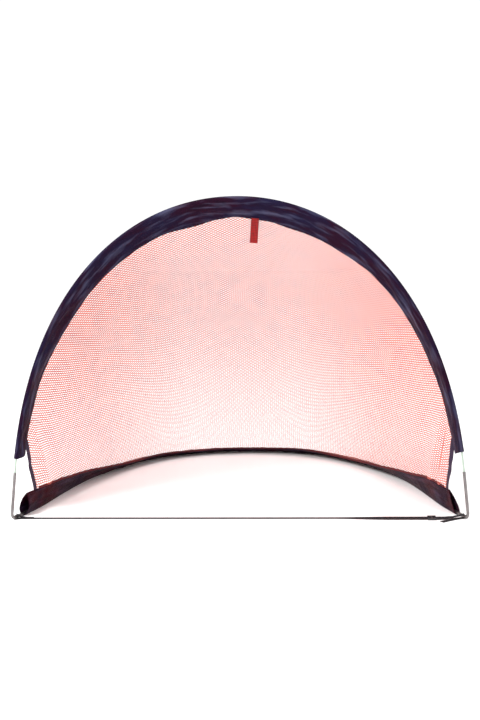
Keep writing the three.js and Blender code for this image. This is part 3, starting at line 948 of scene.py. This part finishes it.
def stitchRow(name, points, wides, ups, material, body):
    # a row of short threads laid on the cloth, each a little arched
    path = makePath(points)
    count = int(path["length"] / stitch["pitch"])
    stops = (np.arange(count) + 0.5) / count
    at = np.interp(stops * path["length"], path["along"], np.arange(len(path["points"])))
    index = np.clip(np.round(at).astype(int), 0, len(points) - 1)
    centres, ahead = pointAt(path, stops), headingAt(path, stops)
    vertices, faces, sides = [], [], stitch["sides"]
    profile = [(-0.5, 0.1, 0.35), (-0.3, 0.9, 0.85), (0.3, 0.9, 0.85), (0.5, 0.1, 0.35)]
    for c, a, i in zip(centres, ahead, index):
        up, wide = ups[i], wides[i]
        first = len(vertices)
        for place, lift, fat in profile:
            middle = c + a * place * stitch["length"] + up * lift * stitch["radius"]
            for turn in range(sides):
                angle = 2 * math.pi * turn / sides
                vertices.append(middle + fat * stitch["radius"]
                                * (math.cos(angle) * wide + math.sin(angle) * up))
        for k in range(len(profile) - 1):
            low, high = first + k * sides, first + (k + 1) * sides
            for j in range(sides):
                n = (j + 1) % sides
                faces.append((low + j, low + n, high + n, high + j))
        faces.append(tuple(first + j for j in reversed(range(sides))))
        faces.append(tuple(high + j for j in range(sides)))
    obj = addObject(name, vertices, faces, material)
    faceOutwards(obj)
    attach(obj, body)
    return obj


def sleeveStitches(name, cloth, body, face):
    # the row that closes the sleeve, just inside its seam
    length = cloth["hoop"]["length"]
    first, last = (end / length + stitch["endGap"] for end in cloth["ends"])
    stops = np.linspace(first, 1 - last, 500)
    inset = stitch["inset"] / sleeve["width"]
    u = slanted(cloth, stops, 1 - inset)
    band, across = bandAim(cloth, u)
    reach = seamReach(cloth, u)
    x = reach - stitch["inset"]
    share = x / reach
    half = sleeve["edge"] + (sleeve["tunnel"] - sleeve["edge"]) * (1 - share)
    push = plySwell(cloth, stops, u, share, face, half)
    sway = seamSway(cloth, u) * share ** 1.5
    away = (face * (half + push + stitch["offCloth"]) + sway)[:, None]
    points = pointAt(cloth["hoop"], u) + band * x[:, None] + across * away
    return stitchRow(name, points, band, across * face, finish["navyThread"], body)


for label, face in (("front", 1), ("rear", -1)):
    sleeveStitches("arch_sleeve_stitches_" + label, archCloth, "arch", face)
    sleeveStitches("base_sleeve_stitches_" + label, baseCloth, "base", face)
print("stitches laid")


tube = {"sides": 32, "bendSteps": 22, "roundness": 0.5523}   # as round as a quarter circle


def makeCornerTube(name, side, node):
    # upright leg, tight bend, ground leg
    bend, pull = goal["bendRadius"], tube["roundness"]
    above, behind = leftCorner + uprightAim * bend, leftCorner + legAim * bend
    curve = bezier(above, lerp(above, leftCorner, pull), lerp(behind, leftCorner, pull), behind,
                   tube["bendSteps"])
    points = np.vstack([np.linspace(uprightEnd, above, 8)[:-1], curve,
                        np.linspace(behind, legEnd, 8)[1:]])
    square = unit(np.cross(uprightAim, legAim))
    if side > 0:
        points, square = points * np.array((-1, 1, 1)), square * np.array((-1, 1, 1))
    obj = sweepTube(name, points, goal["tubeRadius"], tube["sides"], finish["steel"],
                    bore=goal["tubeBore"], square=square)
    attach(obj, "base")
    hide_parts(node)
    return obj


makeCornerTube("corner_tube_bent_left", -1, "corner_tube_left")
makeCornerTube("corner_tube_bent_right", 1, "corner_tube_right")


archRod = {"bendRise": 34 * mm, "fineTo": 0.045, "middleGap": 1 * mm}   # fine steps where it bends


def makeArchRod(name, side, nodes):
    # one rod from its seat in the tube to the middle of the arch; it bends above the tube's mouth
    seat = np.linspace(uprightEnd - uprightAim * goal["rodSeat"], uprightEnd, 12)[:-1]
    low = pointAt(archHoop, np.linspace(0, archRod["fineTo"], 40))
    top = 0.5 - archRod["middleGap"] / archHoop["length"]
    high = pointAt(archHoop, np.linspace(archRod["fineTo"], top, 90))[1:]
    points = np.vstack([seat, low, high])
    if side > 0:
        points = points * np.array((-1, 1, 1))
    obj = sweepTube(name, points, goal["rodRadius"], 16, finish["fibre"], square=yAxis)
    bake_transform(obj)
    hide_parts(*nodes)
    return obj


makeArchRod("arch_rod_left", -1, ("front_rod_left", "front_rod_foot_left"))
makeArchRod("arch_rod_right", 1, ("front_rod_right", "front_rod_foot_right"))

for node, look in (("base_rod_left", "fibre"), ("base_rod_right", "fibre"),
                   ("base_ferrule", "ferrule"), ("front_ferrule", "ferrule")):
    carried = frame["nodes"][node]
    carried.data.materials.clear()
    carried.data.materials.append(finish[look])
print("tubes and rods made")


tab = {"width": 20 * mm, "length": 62 * mm, "ply": 0.75 * mm, "loop": 0.8 * mm, "curl": 2.5 * mm,
       "lean": 0.07}


def makeTab():
    # a loop of woven tape, folded at its lower end
    top = np.array(tabHinge["pos_m"])
    half = tab["loop"] / 2
    drop = np.linspace(0, tab["length"] - half, 26)
    curl = tab["curl"] * (drop / tab["length"]) ** 2
    front = [(-half - c, -d) for c, d in zip(curl, drop)]
    back = [(half - c, -d) for c, d in zip(curl, drop)]
    endCurl = curl[-1]
    fold = [(math.cos(a) * -half - endCurl, -drop[-1] - math.sin(a) * half)
            for a in np.linspace(0, math.pi, 9)[1:-1]]
    line = np.array(front + fold + back[::-1])
    points = np.stack([top[0] + line[:, 1] * tab["lean"], top[1] + line[:, 0], top[2] + line[:, 1]],
                      axis=1)
    wides = np.tile(np.array((1.0, 0.0, -tab["lean"])), (len(points), 1))
    obj = loftRibbon("top_tab_loop", points, wides, tab["width"], tab["ply"], finish["tab"], 10)
    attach(obj, "tab")
    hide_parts("top_tab")
    return obj


makeTab()


strap = {
    "width": 14 * mm,
    "thickness": 0.9 * mm,
    "back": 25 * mm,
    "forward": 13 * mm,
    "offFloor": 0.15 * mm,
    "loopFit": 0.35 * mm,
    "edgeTurn": 12.0,
    "raised": 4.5 * mm,
    "tailLength": 63 * mm,
    "tailDrift": 40 * mm,
    "endOverlap": 44 * mm,
    "step": 2.0 * mm,
    "air": 0.5 * mm,               # between the strap and the end laid back on it
    "swing": (0.25, 0.40),         # x where it leaves its line and is all the way forward
    "swingBack": (0.532, 0.572),
    "raisedFrom": 0.503,           # from here to the leg it stays up
}
legAtStrapX = goal["footX"] - strap["back"] * math.tan(math.radians(goal["legToeIn"]))
strapY = goal["mouthY"] + strap["back"]
strapLow = strap["thickness"] / 2 + strap["offFloor"]
loopRadius = goal["tubeRadius"] + strap["loopFit"] + strap["thickness"] / 2


def flatStop(x, y, z, turn=0.0):
    return [x, y, z, 0.0, math.cos(turn), math.sin(turn)]


def legStops(side, start, end, count=18):
    # round a ground leg, square to it; the tape's width follows the leg
    along = np.array((-side * legAim[0], legAim[1], 0))
    outward = np.array((side * legAim[1], legAim[0], 0))
    centre = np.array((side * legAtStrapX, strapY, goal["hoopLevel"]))
    stops = []
    for turn in np.radians(np.linspace(start, end, count)):
        point = centre + outward * math.cos(turn) * loopRadius + zAxis * math.sin(turn) * loopRadius
        stops.append([*point, *along])
    return stops


def strapStops():
    lift = strap["thickness"] + strap["air"]
    overlap = strap["endOverlap"]
    stops = [flatStop(-legAtStrapX + overlap, strapY, strapLow + lift),
             flatStop(-legAtStrapX + overlap / 2, strapY, strapLow + lift + 0.8 * mm)]
    stops += legStops(-1, 120, -90)
    stops += [flatStop(-legAtStrapX + overlap / 2, strapY, strapLow),
              flatStop(-legAtStrapX + 0.06, strapY, strapLow)]
    stops += [flatStop(x, strapY, strapLow) for x in np.arange(-0.4, 0.21, 0.1)]
    for x in (0.25, 0.28, 0.31, 0.34, 0.37, 0.40, 0.44, 0.48, 0.53, 0.54, 0.55, 0.56):
        share = float(smoothStep(x, *strap["swing"]) * (1 - smoothStep(x, *strap["swingBack"])))
        rise = 1.0 if x > strap["raisedFrom"] else share
        stops.append(flatStop(x, strapY - strap["forward"] * share,
                              lerp(strapLow, strap["raised"], rise),
                              math.radians(strap["edgeTurn"]) * share))
    stops += legStops(1, 105, -90)
    for share in (0.2, 0.4, 0.6, 0.8, 1.0):
        stops.append(flatStop(legAtStrapX - strap["tailLength"] * share,
                              strapY - strap["tailDrift"] * share ** 1.3,
                              strapLow + 0.6 * mm * share))
    return stops


strapLine = smoothLine(strapStops(), strap["step"])
strapLine[:, 2] = np.maximum(strapLine[:, 2], strapLow)
groundStrap = loftRibbon("ground_strap_webbing", strapLine[:, :3], strapLine[:, 3:], strap["width"],
                         strap["thickness"], finish["webbing"])
for corner in groundStrap.data.vertices:
    corner.co.z = max(corner.co.z, strap["offFloor"])
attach(groundStrap, "base")
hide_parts("ground_strap")

buckle = {"length": 22 * mm, "bar": 3.2 * mm, "rail": 1.8 * mm, "plate": 1.4 * mm,
          "fit": 0.6 * mm, "voxel": 0.3 * mm}


def makeSlider():
    # a flat three-bar slider, its edges rounded as moulded plastic is
    low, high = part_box("strap_slider")
    centre = (low + high) / 2
    centre[2] = strap["raised"]
    inside = strap["width"] / 2 + buckle["fit"]
    drop = strap["thickness"] / 2 + buckle["fit"]
    halfHeight = drop + buckle["plate"]
    railY = inside + buckle["rail"] / 2
    barLevel = drop + buckle["plate"] / 2
    barX = (buckle["length"] - buckle["bar"]) / 2
    blocks = [((0, y, 0), (buckle["length"], buckle["rail"], 2 * halfHeight))
              for y in (-railY, railY)]
    blocks += [((x, 0, z), (buckle["bar"], 2 * railY, buckle["plate"]))
               for x, z in ((-barX, -barLevel), (barX, -barLevel), (0, barLevel))]
    work = bmesh.new()
    for middle, size in blocks:
        bmesh.ops.create_cube(work, size=1.0, matrix=Matrix.Translation(middle)
                              @ Matrix.Diagonal((*size, 1)))
    mesh = bpy.data.meshes.new("strap_slider_moulded")
    work.to_mesh(mesh)
    work.free()
    obj = bpy.data.objects.new("strap_slider_moulded", mesh)
    scene.collection.objects.link(obj)
    shell = obj.modifiers.new("one shell", "REMESH")
    shell.mode = "VOXEL"
    shell.voxel_size = buckle["voxel"]
    ease = obj.modifiers.new("soft edges", "SMOOTH")
    ease.factor, ease.iterations = 0.5, 5
    applyModifiers(obj)
    obj.data.materials.append(finish["plastic"])
    turned = Matrix.Rotation(math.radians(strap["edgeTurn"]), 4, "X")
    obj.data.transform(Matrix.Translation(centre) @ turned)
    obj.data.polygons.foreach_set("use_smooth", [True] * len(obj.data.polygons))
    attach(obj, "slider")
    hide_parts("strap_slider")
    return obj


makeSlider()
print("strap and slider threaded")


stage = {"floorSize": 24.0, "worldStrength": 1.07, "worldColor": (1.0, 1.0, 1.0)}


def makeStage():
    half = stage["floorSize"] / 2
    corners = [(-half, -half, 0), (half, -half, 0), (half, half, 0), (-half, half, 0)]
    floor = addObject("floor", corners, [(0, 1, 2, 3)], paleFloor(), smooth=False)
    world = bpy.data.worlds.new("studio")
    world.use_nodes = True
    background = world.node_tree.nodes["Background"]
    background.inputs["Color"].default_value = (*stage["worldColor"], 1)
    background.inputs["Strength"].default_value = stage["worldStrength"]
    scene.world = world


# metres and watts
lamps = {
    "key softbox": {"place": (-1.9, -2.4, 2.6), "target": (0, 0, 0.35), "size": (0.9, 0.9), "power": 130},
    "fill softbox": {"place": (2.4, -1.6, 1.7), "target": (0, 0, 0.3), "size": (1.4, 1.4), "power": 14},
    "top softbox": {"place": (0, 0.6, 3.0), "target": (0, 0, 0.3), "size": (2.4, 2.4), "power": 22},
}


def addLamp(name, place, target, size, power):
    lamp = bpy.data.lights.new(name, "AREA")
    lamp.shape = "RECTANGLE"
    lamp.size, lamp.size_y = size
    lamp.energy = power
    obj = bpy.data.objects.new(name, lamp)
    obj.location = place
    obj.rotation_euler = (Vector(target) - Vector(place)).to_track_quat("-Z", "Y").to_euler()
    scene.collection.objects.link(obj)


# angles in radians
view = {"place": (0.1196, goal["mouthY"] - 2.9, 0.8019), "yaw": 0.0382, "pitch": 0.1298,
        "roll": -0.011, "lens": 57.17}


def makeCamera():
    yaw, pitch, roll = view["yaw"], view["pitch"], view["roll"]
    right = Vector((math.cos(yaw), math.sin(yaw), 0))
    level = Vector((-math.sin(yaw), math.cos(yaw), 0))
    ahead = level * math.cos(pitch) - Vector((0, 0, 1)) * math.sin(pitch)
    above = level * math.sin(pitch) + Vector((0, 0, 1)) * math.cos(pitch)
    camRight = right * math.cos(roll) + above * math.sin(roll)
    camUp = above * math.cos(roll) - right * math.sin(roll)
    data = bpy.data.cameras.new("camera")
    data.lens = view["lens"]
    obj = bpy.data.objects.new("camera", data)
    turn = Matrix((camRight, camUp, -ahead)).transposed().to_4x4()
    obj.matrix_world = Matrix.Translation(view["place"]) @ turn
    scene.collection.objects.link(obj)
    scene.camera = obj


makeStage()
for lampName, lampSetting in lamps.items():
    addLamp(lampName, **lampSetting)
makeCamera()
print("stage, lamps and camera set")
